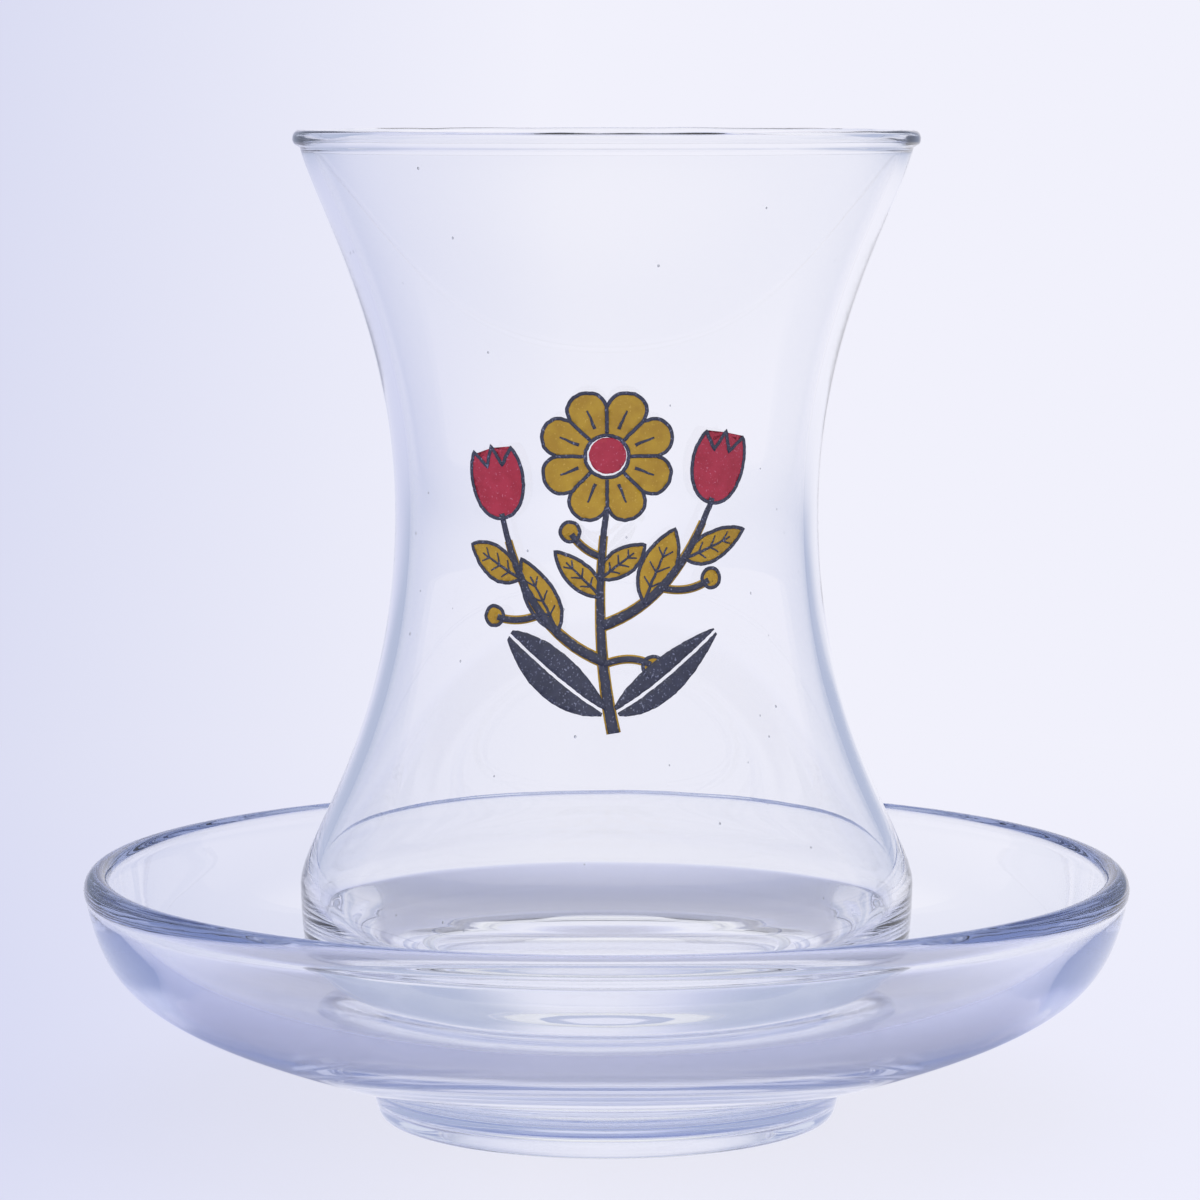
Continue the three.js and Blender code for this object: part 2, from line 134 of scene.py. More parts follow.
def sweep_paper():
    """Matt paper: an even pale tone to the eye and in the glass, a soft painted lavender shade near the object,
    and painted light under the foot.
    """
    material, tree = blank_material("matt_sweep_paper")
    place = add_node(tree, "TexCoord").outputs["Object"]
    axes = add_node(tree, "SeparateXYZ", {0: place}).outputs
    path = add_node(tree, "LightPath").outputs

    # The fade from left to right opens like a fan towards the backdrop.
    spread = add_node(tree, "Math", {0: axes["Y"]}, operation="ABSOLUTE").outputs[0]
    spread = add_node(tree, "Math", {0: spread, 1: PAPER_FADE_SPREAD}, operation="ADD").outputs[0]
    fanned = add_node(tree, "Math", {0: axes["X"], 1: spread}, operation="DIVIDE").outputs[0]
    fade = add_node(tree, "MapRange", {"Value": fanned, "From Min": PAPER_FADE[0],
                                       "From Max": PAPER_FADE[1]}).outputs[0]
    tone = add_node(tree, "Mix", {0: fade, 6: linear(PAPER_LEFT), 7: linear(PAPER_RIGHT)},
                    data_type="RGBA").outputs[2]

    # High up and far aside, out of the picture, the paper is painted dusky for all but camera rays: painted shade
    # seen only in the glass, which draws the edges of the glass.
    upward = add_node(tree, "MapRange", {"Value": axes["Z"], "From Min": PAPER_DUSK_HEIGHT[0],
                                         "From Max": PAPER_DUSK_HEIGHT[1]},
                      interpolation_type="SMOOTHSTEP").outputs[0]
    aside = add_node(tree, "Math", {0: axes["X"]}, operation="ABSOLUTE").outputs[0]
    aside = add_node(tree, "MapRange", {"Value": aside, "From Min": PAPER_DUSK_ASIDE[0],
                                        "From Max": PAPER_DUSK_ASIDE[1]},
                     interpolation_type="SMOOTHSTEP").outputs[0]
    dusk = add_node(tree, "Math", {0: upward, 1: aside}, operation="MAXIMUM").outputs[0]
    # The camera never sees this painted shade; only the glass does.
    dusk = add_node(tree, "Math", {0: dusk, 1: path["Is Camera Ray"]}, operation="SUBTRACT",
                    use_clamp=True).outputs[0]
    tone = add_node(tree, "Mix", {0: dusk, 6: tone, 7: linear(PAPER_DUSK)}, data_type="RGBA").outputs[2]

    # The share of even light: most of it to the eye, and through the glass less in the ring of shade
    # that the saucer throws round its foot, where the real shadow and the painted shade show. Under the foot
    # the glass sees the paper glow in full: a painted pool of light in the saucer's shadow.
    away = add_node(tree, "VectorMath", {0: place}, operation="LENGTH").outputs["Value"]
    by_eye = add_node(tree, "MapRange", {"Value": away, "From Min": LIT_BY_EYE_REACH[0],
                                         "From Max": LIT_BY_EYE_REACH[1], "To Min": LIT_BY_EYE},
                      interpolation_type="SMOOTHSTEP").outputs[0]
    beyond = add_node(tree, "MapRange", {"Value": away, "From Min": SHADE_END[0], "From Max": SHADE_END[1],
                                         "To Min": LIT_IN_SHADE},
                      interpolation_type="SMOOTHSTEP").outputs[0]
    # Painted light: under the foot the glass sees the paper glow in full, though the saucer shades it.
    under = add_node(tree, "MapRange", {"Value": away, "From Min": SHADE_START[0], "From Max": SHADE_START[1],
                                        "To Min": PAINTED_LIGHT_UNDER_FOOT, "To Max": 0.0},
                     interpolation_type="SMOOTHSTEP").outputs[0]
    in_glass = add_node(tree, "Math", {0: beyond, 1: under}, operation="MAXIMUM").outputs[0]
    through = add_node(tree, "Math", {0: path["Is Glossy Ray"], 1: path["Is Transmission Ray"]},
                       operation="MAXIMUM").outputs[0]
    through = add_node(tree, "Math", {0: through, 1: in_glass}, operation="MULTIPLY").outputs[0]
    share = add_node(tree, "Math", {0: path["Is Camera Ray"], 1: by_eye}, operation="MULTIPLY").outputs[0]
    share = add_node(tree, "Math", {0: share, 1: through}, operation="ADD").outputs[0]

    # Painted shade: the paper's diffuse colour is a darker lavender than its even glow. Wherever the glow's share
    # drops near the object, the paper shows darker and bluer on top of its real shadow.
    shade = add_node(tree, "Mix", {0: 1.0, 6: tone, 7: linear(PAPER_PAINTED_SHADE)}, data_type="RGBA",
                     blend_type="MULTIPLY").outputs[2]
    paper = add_node(tree, "BsdfDiffuse", {"Color": shade}).outputs[0]
    lit = add_node(tree, "Emission", {"Color": tone, "Strength": 1.0}).outputs[0]
    shown = add_node(tree, "MixShader", {0: share, 1: paper, 2: lit}).outputs[0]
    add_node(tree, "OutputMaterial", {"Surface": shown})
    return material


def sweep_mesh():
    """Floor, bend and backdrop as one sheet."""
    turns = [math.pi / 2 * i / SWEEP_BEND_STEPS for i in range(SWEEP_BEND_STEPS + 1)]
    bend = [(SWEEP_BEND_START + SWEEP_BEND_RADIUS * math.sin(a), SWEEP_BEND_RADIUS * (1 - math.cos(a)))
            for a in turns]
    side_line = [(SWEEP_FRONT, 0.0), *bend, (SWEEP_BEND_START + SWEEP_BEND_RADIUS, SWEEP_TOP)]
    builder = bmesh.new()
    rows = [[builder.verts.new((x, y, z)) for x in (-SWEEP_HALF_WIDTH, SWEEP_HALF_WIDTH)]
            for y, z in side_line]
    for near, away in zip(rows, rows[1:]):
        builder.faces.new((near[0], near[1], away[1], away[0]))
    return builder


add_piece("studio_sweep", sweep_mesh(), sweep_paper())

# Studio light: a lavender-white room, dusky half way up and white overhead, a broad softbox above,
# and a fill behind the viewer that lights the print. Neither lamp leaves a spot on the glass.
ROOM_TOP = "FFFFFF"
ROOM_DUSK_RISE = (0.10, 0.45)
ROOM_TOP_RISE = (0.5, 0.8)
ROOM_FRONT = 0.8
ROOM_BACK = 0.95
ROOM_FRONT_TO_BACK = (-0.7, 0.4)
SOFTBOX_WATTS = 4.2
SOFTBOX_SIZE = 0.9
SOFTBOX_PLACE = (0.1, 0.15, 0.9)
FILL_WATTS = 4.5
FILL_SIZE = 0.8
FILL_PLACE = (-0.25, -0.95, 0.55)

world = bpy.data.worlds.new("studio_room")
studio.world = world
world.use_nodes = True
room = world.node_tree
room.nodes.clear()
room_way = add_node(room, "SeparateXYZ", {0: add_node(room, "TexCoord").outputs["Generated"]}).outputs
room_tone = linear(PAPER_RIGHT)
for rise, upper_tone in ((ROOM_DUSK_RISE, PAPER_DUSK), (ROOM_TOP_RISE, ROOM_TOP)):
    risen = add_node(room, "MapRange", {"Value": room_way["Z"], "From Min": rise[0], "From Max": rise[1]},
                     interpolation_type="SMOOTHSTEP").outputs[0]
    room_tone = add_node(room, "Mix", {0: risen, 6: room_tone, 7: linear(upper_tone)},
                         data_type="RGBA").outputs[2]
room_level = add_node(room, "MapRange", {"Value": room_way["Y"], "From Min": ROOM_FRONT_TO_BACK[0],
                                         "From Max": ROOM_FRONT_TO_BACK[1], "To Min": ROOM_FRONT,
                                         "To Max": ROOM_BACK})
room_light = add_node(room, "Background", {"Color": room_tone, "Strength": room_level.outputs[0]})
room_seen = add_node(room, "Background", {"Color": linear(PAPER_RIGHT), "Strength": 1.0})
room_mix = add_node(room, "MixShader", {0: add_node(room, "LightPath").outputs["Is Camera Ray"],
                                        1: room_light.outputs[0], 2: room_seen.outputs[0]})
add_node(room, "OutputWorld", {"Surface": room_mix.outputs[0]})


def add_softbox(name, watts, size, place):
    """A square area lamp that points at the object."""
    lamp_data = bpy.data.lights.new(name, "AREA")
    lamp_data.energy = watts
    lamp_data.size = size
    lamp = bpy.data.objects.new(name, lamp_data)
    lamp.location = place
    lamp.rotation_euler = (-Vector(place)).to_track_quat("-Z", "Y").to_euler()
    studio.collection.objects.link(lamp)
    return lamp


for lamp in (add_softbox("overhead_softbox", SOFTBOX_WATTS, SOFTBOX_SIZE, SOFTBOX_PLACE),
             add_softbox("fill", FILL_WATTS, FILL_SIZE, FILL_PLACE)):
    lamp.visible_glossy = False
    lamp.visible_transmission = False

# Saucer: a round dish of pressed soda-lime glass with a round lip, a shallow well in the middle
# that keeps the glass in place, and a tapered foot ring that stands on the table. Sizes are in mm.
saucer_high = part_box("saucer")[1]
SAUCER_RADIUS = saucer_high.x / MM
SAUCER_HEIGHT = saucer_high.z / MM
LIP_WIDTH = 2.6
LIP_CREST = 1.6
LIP_OUTSIDE_DROP = 1.8
LIP_INSIDE_DROP = 1.2
LIP_BULGE = 0.2
UNDERSIDE_RUN = 25.0
UNDERSIDE_RISE = 8.0
UNDERSIDE_PULL = 2.2
UNDERSIDE_DROP = 9.6
UNDERSIDE_START = 0.06
INSIDE_PULL = 1.84
INSIDE_DROP = 8.75
INSIDE_RUN = 18.7
INSIDE_RISE = 4.8
INSIDE_END = 0.97
FOOT_RADIUS = 25.0
FOOT_HEIGHT = 3.8
FOOT_BOTTOM_RADIUS = 24.2
FOOT_RING_INSIDE = 20.8
FOOT_EDGE = 0.5
FOOT_EASE = 0.9
RECESS_RADIUS = 19.9
RECESS_DEPTH = 2.2
WELL_FLOOR = 7.8
WELL_RADIUS = 26.0
WELL_EDGE_RADIUS = 27.2
WELL_EDGE_HEIGHT = 8.7
WELL_EASE = 0.7
DISH_SWAY = 0.05
DISH_SWAY_LENGTH = 16
SAUCER_TINT = "C4D0EE"
SAUCER_TINT_DEPTH = 14.0
SAUCER_RIPPLE_LENGTH = 7.0
SAUCER_RIPPLE_HEIGHT = 0.01
SODA_LIME_IOR = 1.52
ROUND_STEPS = 288
DISH_STEPS = 40
LIP_OUTSIDE_STEPS = 18
LIP_INSIDE_STEPS = 12
EASE_STEPS = 6
EASE_LIMIT = 2.2
SWAY_FADE_RINGS = 6
STRETCH_APART = 97
ON_AXIS = 1e-6
WELD_REACH = 1e-7


def bezier(handles, share):
    """Point at a share of the way along a Bezier curve."""
    points = [Vector(handle) for handle in handles]
    while len(points) > 1:
        points = [a.lerp(b, share) for a, b in zip(points, points[1:])]
    return points[0]


def curve(handles, steps, start=0.0):
    """Points along a Bezier curve from a share of it to its end."""
    return [bezier(handles, start + (1 - start) * i / steps) for i in range(steps + 1)]


def eased(corners, ease):
    """An outline whose inner corners are rounded off, ease millimetres to either side."""
    corners = [Vector(corner) for corner in corners]
    points = [corners[0]]
    for before, corner, after in zip(corners, corners[1:], corners[2:]):
        back, on = before - corner, after - corner
        near = corner + back.normalized() * min(ease, back.length / EASE_LIMIT)
        far = corner + on.normalized() * min(ease, on.length / EASE_LIMIT)
        points += curve([near, corner, far], EASE_STEPS)
    return [*points, corners[-1]]


def turned(stretches):
    """Solid of revolution from stretches of outline in mm, each with its sway from true and the sway's length."""
    builder = bmesh.new()
    rings = []
    for number, (points, sway, length) in enumerate(stretches):
        last = len(points) - 1
        for index, (radius, height) in enumerate(points):
            if radius < ON_AXIS:
                rings.append([builder.verts.new((0, 0, height * MM))])
                continue
            ring = []
            own_sway = sway * min(1, index / SWAY_FADE_RINGS, (last - index) / SWAY_FADE_RINGS)
            for step in range(ROUND_STEPS):
                turn = 2 * math.pi * step / ROUND_STEPS
                place = Vector((radius * math.cos(turn), radius * math.sin(turn),
                                height + STRETCH_APART * number))
                off_true = own_sway * (0.5 - 0.5 * noise.noise(place / length))
                reach = radius - off_true
                ring.append(builder.verts.new(Vector((reach * math.cos(turn), reach * math.sin(turn),
                                                      height - off_true)) * MM))
            rings.append(ring)
    for low, high in zip(rings, rings[1:]):
        for step in range(ROUND_STEPS):
            after = (step + 1) % ROUND_STEPS
            corners = [low[step % len(low)], low[after % len(low)],
                       high[after % len(high)], high[step % len(high)]]
            builder.faces.new(list(dict.fromkeys(corners)))
    bmesh.ops.remove_doubles(builder, verts=builder.verts, dist=WELD_REACH)
    bmesh.ops.recalc_face_normals(builder, faces=builder.faces)
    return builder


def lip(outside, top, crest, width, outside_drop, inside_drop, bulge):
    """Rounded lip as parts of two ellipses, from under its bulge outside, over its crest, to its inside."""
    under = math.acos(1 - bulge / crest)
    outer_turns = [-under + (math.pi / 2 + under) * i / LIP_OUTSIDE_STEPS for i in range(LIP_OUTSIDE_STEPS + 1)]
    inner_turns = [math.pi / 2 * i / LIP_INSIDE_STEPS for i in range(1, LIP_INSIDE_STEPS + 1)]
    outer = [Vector((outside - crest + crest * math.cos(a), top - outside_drop + outside_drop * math.sin(a)))
             for a in outer_turns]
    inner = [Vector((outside - crest - (width - crest) * math.sin(a),
                     top - inside_drop + inside_drop * math.cos(a))) for a in inner_turns]
    return outer + inner


def saucer_outline():
    """Foot, underside, lip, inside and well, from the middle of the recess to the middle of the well."""
    lip_line = lip(SAUCER_RADIUS, SAUCER_HEIGHT, LIP_CREST, LIP_WIDTH, LIP_OUTSIDE_DROP, LIP_INSIDE_DROP,
                   LIP_BULGE)
    lip_foot = lip_line[0].y
    underside = [(FOOT_RADIUS, FOOT_HEIGHT), (FOOT_RADIUS + UNDERSIDE_RUN, FOOT_HEIGHT + UNDERSIDE_RISE),
                 (SAUCER_RADIUS - UNDERSIDE_PULL, lip_foot - UNDERSIDE_DROP),
                 (SAUCER_RADIUS - LIP_BULGE, lip_foot)]
    inside_top = SAUCER_HEIGHT - LIP_INSIDE_DROP
    lip_inside = SAUCER_RADIUS - LIP_WIDTH
    inside = [(lip_inside, inside_top), (lip_inside - INSIDE_PULL, inside_top - INSIDE_DROP),
              (WELL_EDGE_RADIUS + INSIDE_RUN, WELL_EDGE_HEIGHT + INSIDE_RISE),
              (WELL_EDGE_RADIUS, WELL_EDGE_HEIGHT)]
    foot = eased([(0, RECESS_DEPTH), (RECESS_RADIUS, RECESS_DEPTH), (FOOT_RING_INSIDE, 0),
                  (FOOT_BOTTOM_RADIUS - FOOT_EDGE, 0), (FOOT_BOTTOM_RADIUS, FOOT_EDGE),
                  (FOOT_RADIUS, FOOT_HEIGHT), bezier(underside, UNDERSIDE_START)], FOOT_EASE)
    well = eased([bezier(inside, INSIDE_END), (WELL_EDGE_RADIUS, WELL_EDGE_HEIGHT),
                  (WELL_RADIUS, WELL_FLOOR), (0, WELL_FLOOR)], WELL_EASE)
    return [
        (foot, 0.0, DISH_SWAY_LENGTH),
        (curve(underside, DISH_STEPS, UNDERSIDE_START)[1:-1], DISH_SWAY, DISH_SWAY_LENGTH),
        (lip_line, 0.0, DISH_SWAY_LENGTH),
        (curve(inside, DISH_STEPS)[1:-2], DISH_SWAY, DISH_SWAY_LENGTH),
        (well, 0.0, DISH_SWAY_LENGTH),
    ]


def polished_glass(name, tint, tint_depth, ripple_length, ripple_height):
    """Soda-lime glass, fire-polished: clear and sharp, faintly rippled, and bluer where it is thick."""
    material, tree = blank_material(name)
    place = add_node(tree, "TexCoord").outputs["Object"]
    ripple = add_node(tree, "TexNoise", {"Vector": place, "Scale": 1 / (ripple_length * MM), "Detail": 1.0})
    bump = add_node(tree, "Bump", {"Height": ripple.outputs["Fac"], "Distance": ripple_height * MM,
                                   "Strength": 1.0})
    clear = add_node(tree, "BsdfPrincipled", {
        "Base Color": (1, 1, 1, 1), "Roughness": 0.0, "IOR": SODA_LIME_IOR, "Transmission Weight": 1.0,
        "Normal": bump.outputs[0]})
    body = add_node(tree, "VolumeAbsorption", {"Color": linear(tint), "Density": tint_depth})
    add_node(tree, "OutputMaterial", {"Surface": clear.outputs[0], "Volume": body.outputs[0]})
    return material


saucer_glass = polished_glass("pressed_saucer_glass", SAUCER_TINT, SAUCER_TINT_DEPTH, SAUCER_RIPPLE_LENGTH,
                              SAUCER_RIPPLE_HEIGHT)
saucer = add_piece("saucer_dish", turned(saucer_outline()), saucer_glass)
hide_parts("saucer")
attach(saucer, "saucer")

# Glass: a blown and fire-polished tea glass of clear soda-lime, with a thick base, a round belly,
# a drawn-in waist and a flared mouth with a beaded lip. It stands loose in the saucer's well.
glass_low, glass_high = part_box("glass")
SEAT = glass_low.z / MM
GLASS_TOP = glass_high.z / MM
MOUTH_RADIUS = glass_high.x / MM
BEAD_WIDTH = 2.0
BEAD_CREST = 0.8
BEAD_OUTSIDE_DROP = 0.9
BEAD_INSIDE_DROP = 1.3
BEAD_BULGE = 0.35
BEAD_PROUD = 0.8
BEAD_HEIGHT = 1.85
WALL_TOP_RADIUS = MOUTH_RADIUS - BEAD_PROUD
WALL_TOP = GLASS_TOP - BEAD_HEIGHT
FLARE_PULL = 1.7
FLARE_DROP = 6.5
WAIST_RADIUS = 22.175
WAIST_HEIGHT = SEAT + 55.9
WAIST_REACH_UP = 19.2
WAIST_REACH_DOWN = 23.3
BELLY_RADIUS = 32.3
BELLY_HEIGHT = SEAT + 16.7
BELLY_REACH_UP = 4.8
BELLY_REACH_DOWN = 10.2
BASE_RADIUS = 25.0
BASE_RUN = 4.4
BASE_RING_INSIDE = 20.5
BASE_EASE = 0.6
PUSH_UP = 0.9
FLOOR_HEIGHT = SEAT + 9.2
FLOOR_RADIUS = 17.0
RIM_WALL = 1.25
WAIST_WALL = 1.55
BELLY_WALL = 1.7
INSIDE_FOLD_HEIGHT = SEAT + 13.3
INSIDE_FOLD_PULL = 0.5
INSIDE_FOLD_EASE = 1.0
INSIDE_FOLD_START = 0.85
INSIDE_FOLD_END = 0.1
INSIDE_HEEL_RUN = 8.0
OUTSIDE_SWAY = 0.012
INSIDE_SWAY = 0.03
WALL_SWAY_LENGTH = 12
BEAD_SWAY = 0.14
BEAD_SWAY_LENGTH = 5
GLASS_TINT = "CAD4F0"
GLASS_TINT_DEPTH = 3.0
GLASS_RIPPLE_LENGTH = 6.0
GLASS_RIPPLE_HEIGHT = 0.004
HEEL_STEPS = 24
BODY_STEPS = 48
FLARE_STEPS = 40
INSIDE_SIDE_STEPS = 12
FLOOR_STEPS = 20
SEED_START = 7
SEED_COUNT = 46
SEED_HEIGHTS = (SEAT + 12.0, GLASS_TOP - 3.0)
SEED_SIZES = (0.06, 0.12)
SEED_STRETCH = 1.6
SEED_DEPTH = 0.6


def outside_wall():
    """Heel, belly, waist and flare, from the base up to the bead."""
    heel = [(BASE_RADIUS, SEAT), (BASE_RADIUS + BASE_RUN, SEAT),
            (BELLY_RADIUS, BELLY_HEIGHT - BELLY_REACH_DOWN), (BELLY_RADIUS, BELLY_HEIGHT)]
    body = [(BELLY_RADIUS, BELLY_HEIGHT), (BELLY_RADIUS, BELLY_HEIGHT + BELLY_REACH_UP),
            (WAIST_RADIUS, WAIST_HEIGHT - WAIST_REACH_DOWN), (WAIST_RADIUS, WAIST_HEIGHT)]
    flare = [(WAIST_RADIUS, WAIST_HEIGHT), (WAIST_RADIUS, WAIST_HEIGHT + WAIST_REACH_UP),
             (WALL_TOP_RADIUS - FLARE_PULL, WALL_TOP - FLARE_DROP), (WALL_TOP_RADIUS, WALL_TOP)]
    return curve(heel, HEEL_STEPS) + curve(body, BODY_STEPS)[1:] + curve(flare, FLARE_STEPS)[1:]


def inside_wall():
    """The same wall inside, from the bead down to the floor."""
    top = WALL_TOP_RADIUS - RIM_WALL
    waist = WAIST_RADIUS - WAIST_WALL
    belly = BELLY_RADIUS - BELLY_WALL
    flare = [(top, WALL_TOP), (top - FLARE_PULL, WALL_TOP - FLARE_DROP),
             (waist, WAIST_HEIGHT + WAIST_REACH_UP), (waist, WAIST_HEIGHT)]
    body = [(waist, WAIST_HEIGHT), (waist, WAIST_HEIGHT - WAIST_REACH_DOWN),
            (belly, BELLY_HEIGHT + BELLY_REACH_UP), (belly, BELLY_HEIGHT)]
    fold = (belly - INSIDE_FOLD_PULL, INSIDE_FOLD_HEIGHT)
    side = [(belly, BELLY_HEIGHT), (belly, (BELLY_HEIGHT + INSIDE_FOLD_HEIGHT) / 2), fold]
    floor = [fold, (FLOOR_RADIUS + INSIDE_HEEL_RUN, FLOOR_HEIGHT), (FLOOR_RADIUS, FLOOR_HEIGHT)]
    heel = eased([bezier(side, INSIDE_FOLD_START), fold, bezier(floor, INSIDE_FOLD_END)], INSIDE_FOLD_EASE)
    return (curve(flare, FLARE_STEPS) + curve(body, BODY_STEPS)[1:] + curve(side, INSIDE_SIDE_STEPS)[1:-2]
            + heel + curve(floor, FLOOR_STEPS, INSIDE_FOLD_END)[1:])


def glass_outline():
    """Base, outside, bead, inside and floor, from the middle of the base to the middle of the floor."""
    base = eased([(0, SEAT + PUSH_UP), (BASE_RING_INSIDE - PUSH_UP, SEAT + PUSH_UP), (BASE_RING_INSIDE, SEAT),
                  (BASE_RADIUS, SEAT)], BASE_EASE)
    bead = lip(MOUTH_RADIUS, GLASS_TOP, BEAD_CREST, BEAD_WIDTH, BEAD_OUTSIDE_DROP, BEAD_INSIDE_DROP,
               BEAD_BULGE)
    return [
        (base[:-1], 0.0, WALL_SWAY_LENGTH),
        (outside_wall(), OUTSIDE_SWAY, WALL_SWAY_LENGTH),
        (bead, BEAD_SWAY, BEAD_SWAY_LENGTH),
        (inside_wall(), INSIDE_SWAY, WALL_SWAY_LENGTH),
        ([(0, FLOOR_HEIGHT)], 0.0, WALL_SWAY_LENGTH),
    ]


wall_line = outside_wall()
wall_heights = [point.y for point in wall_line]


def wall_radius(height):
    """Radius of the outside of the glass at a height."""
    upper = bisect_left(wall_heights, height)
    below, above = wall_line[upper - 1], wall_line[upper]
    return below.x + (above.x - below.x) * (height - below.y) / (above.y - below.y)


def add_seeds(builder):
    """Adds the tiny drawn-out air bubbles that the blown wall holds, as hollows in the glass."""
    chance = random.Random(SEED_START)
    for _ in range(SEED_COUNT):
        turn = chance.uniform(0, 2 * math.pi)
        height = chance.uniform(*SEED_HEIGHTS)
        radius = wall_radius(height) - SEED_DEPTH
        size = chance.uniform(*SEED_SIZES) * MM
        place = Vector((radius * math.cos(turn), radius * math.sin(turn), height)) * MM
        shape = Matrix.Translation(place) @ Matrix.Diagonal((size, size, SEED_STRETCH * size, 1))
        bubble = bmesh.ops.create_icosphere(builder, subdivisions=2, radius=1, matrix=shape)["verts"]
        bmesh.ops.reverse_faces(builder, faces=list({face for vert in bubble for face in vert.link_faces}))


blown_body = turned(glass_outline())
add_seeds(blown_body)
blown_glass = polished_glass("blown_tea_glass", GLASS_TINT, GLASS_TINT_DEPTH, GLASS_RIPPLE_LENGTH,
                             GLASS_RIPPLE_HEIGHT)
glass = add_piece("glass_body", blown_body, blown_glass)
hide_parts("glass")
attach(glass, "glass")

# Print, first screen: gold leaves and berries on three stems, in ceramic enamel that is screen printed
# on the outside of the glass and fired on. Later screens print over it and never meet it quite true.
PRINT_HEIGHT = SEAT + 52.9
INK_THICKNESS = 0.03
FIRST_INK_LIFT = 0.016
SCREEN_PITCH = 0.3
EDGE_WOBBLE = 0.07
EDGE_WOBBLE_LENGTH = 1.6 * SCREEN_PITCH
EDGE_WOBBLE_SLICES = (3, 8)
FILM_CUT = 0.9
STEM_WIDTH = 1.0
STEM_TIP_WIDTH = 0.6
UNDERPRINT_MARGIN = 0.3
BERRY_RADIUS = 1.0
LEAF_HANDLES = (0.25, 0.7)
LEAF_SWELLS = (1.4, 1.2)
LEAF_INNER_BEND = 0.4
CURVE_STEPS = 16
DISC_STEPS = 24
GOLD = "BC9422"
GOLD_DEEP = "AE851B"
GOLD_FLECK = "D2AE48"
CLOUD_SIZE = 1.5
CLOUD_RANGE = (0.35, 0.65)
GRIT_SIZE = 0.22
GRIT_HEIGHT = 0.008
FLECK_RANGE = (0.66, 0.74)
FLECK_STRENGTH = 0.8
SATIN = (0.32, 0.52)
ENAMEL_IOR = 1.5
MAIN_STEM = [(0.6, -17.2), (-1.6, -6.0), (0.0, 5.2)]
LEFT_STEM = [(-0.2, -10.2), (-8.4, -7.0), (-11.0, 4.4)]
RIGHT_STEM = [(-0.5, -6.6), (7.0, -4.0), (11.0, 6.0)]
STEMS = [MAIN_STEM, LEFT_STEM, RIGHT_STEM]

# Berry stalks: stem, share of it where the stalk starts, then its bend and end from there.
STALKS = [
    (MAIN_STEM, 0.30, (2.8, 1.2), (4.8, -0.2)),
    (LEFT_STEM, 0.46, (-2.4, -1.2), (-5.0, -0.4)),
    (RIGHT_STEM, 0.44, (3.0, -0.8), (5.4, 0.8)),
    (MAIN_STEM, 0.78, (-2.0, 0.6), (-3.2, 2.5)),
]

# Leaves: stem, share of it where the leaf starts, way it points in degrees, length, half width and
# bend of its tip.
GOLD_LEAVES = [
    (LEFT_STEM, 0.32, 112, 8.2, 1.7, 0.9),
    (LEFT_STEM, 0.68, 160, 6.6, 1.5, -1.0),
    (RIGHT_STEM, 0.30, 72, 8.0, 1.7, -0.8),
    (RIGHT_STEM, 0.66, 12, 7.4, 1.6, 1.1),
    (MAIN_STEM, 0.60, 128, 6.4, 1.4, 0.8),
    (MAIN_STEM, 0.68, 44, 5.6, 1.3, -0.6),
]


def on_wall(point, lift):
    """Place on the outside of the glass of a point drawn in mm across and up from the print's middle."""
    height = PRINT_HEIGHT + point.y
    radius = wall_radius(height) + lift
    turn = point.x / WAIST_RADIUS
    return Vector((radius * math.sin(turn), -radius * math.cos(turn), height)) * MM


def printed_edge(outline, closed=True):
    """A drawn line as a screen prints it: points a thread apart, each a little off the line."""
    ends = outline[1:] + outline[:1] if closed else outline[1:]
    points = []
    for start, end in zip(outline, ends):
        steps = max(1, round((end - start).length / SCREEN_PITCH))
        points += [start.lerp(end, i / steps) for i in range(steps)]
    if not closed:
        points.append(outline[-1])
    wobbled = []
    for point in points:
        place = point / EDGE_WOBBLE_LENGTH
        off = Vector([noise.noise((place.x, place.y, height)) for height in EDGE_WOBBLE_SLICES])
        wobbled.append(point + EDGE_WOBBLE * off)
    return wobbled


def ink_film(builder, outline, lift):
    """Adds a drawn shape as a closed film of ink that follows the glass."""
    sheet = bmesh.new()
    sheet.faces.new([sheet.verts.new((point.x, point.y, 0)) for point in outline])
    bmesh.ops.triangulate(sheet, faces=sheet.faces[:])
    for axis, normal in enumerate([Vector((1, 0, 0)), Vector((0, 1, 0))]):
        places = [point[axis] / FILM_CUT for point in outline]
        for cut in range(math.ceil(min(places)), math.floor(max(places)) + 1):
            bmesh.ops.bisect_plane(sheet, geom=sheet.verts[:] + sheet.edges[:] + sheet.faces[:],
                                   plane_co=normal * cut * FILM_CUT, plane_no=normal)
    under = {vert: builder.verts.new(on_wall(vert.co, lift)) for vert in sheet.verts}
    upper = {vert: builder.verts.new(on_wall(vert.co, lift + INK_THICKNESS)) for vert in sheet.verts}
    for face in sheet.faces:
        builder.faces.new([upper[vert] for vert in face.verts])
        builder.faces.new([under[vert] for vert in reversed(face.verts)])
    for edge in sheet.edges:
        if edge.is_boundary:
            a, b = edge.verts
            builder.faces.new((under[a], under[b], upper[b], upper[a]))
    sheet.free()


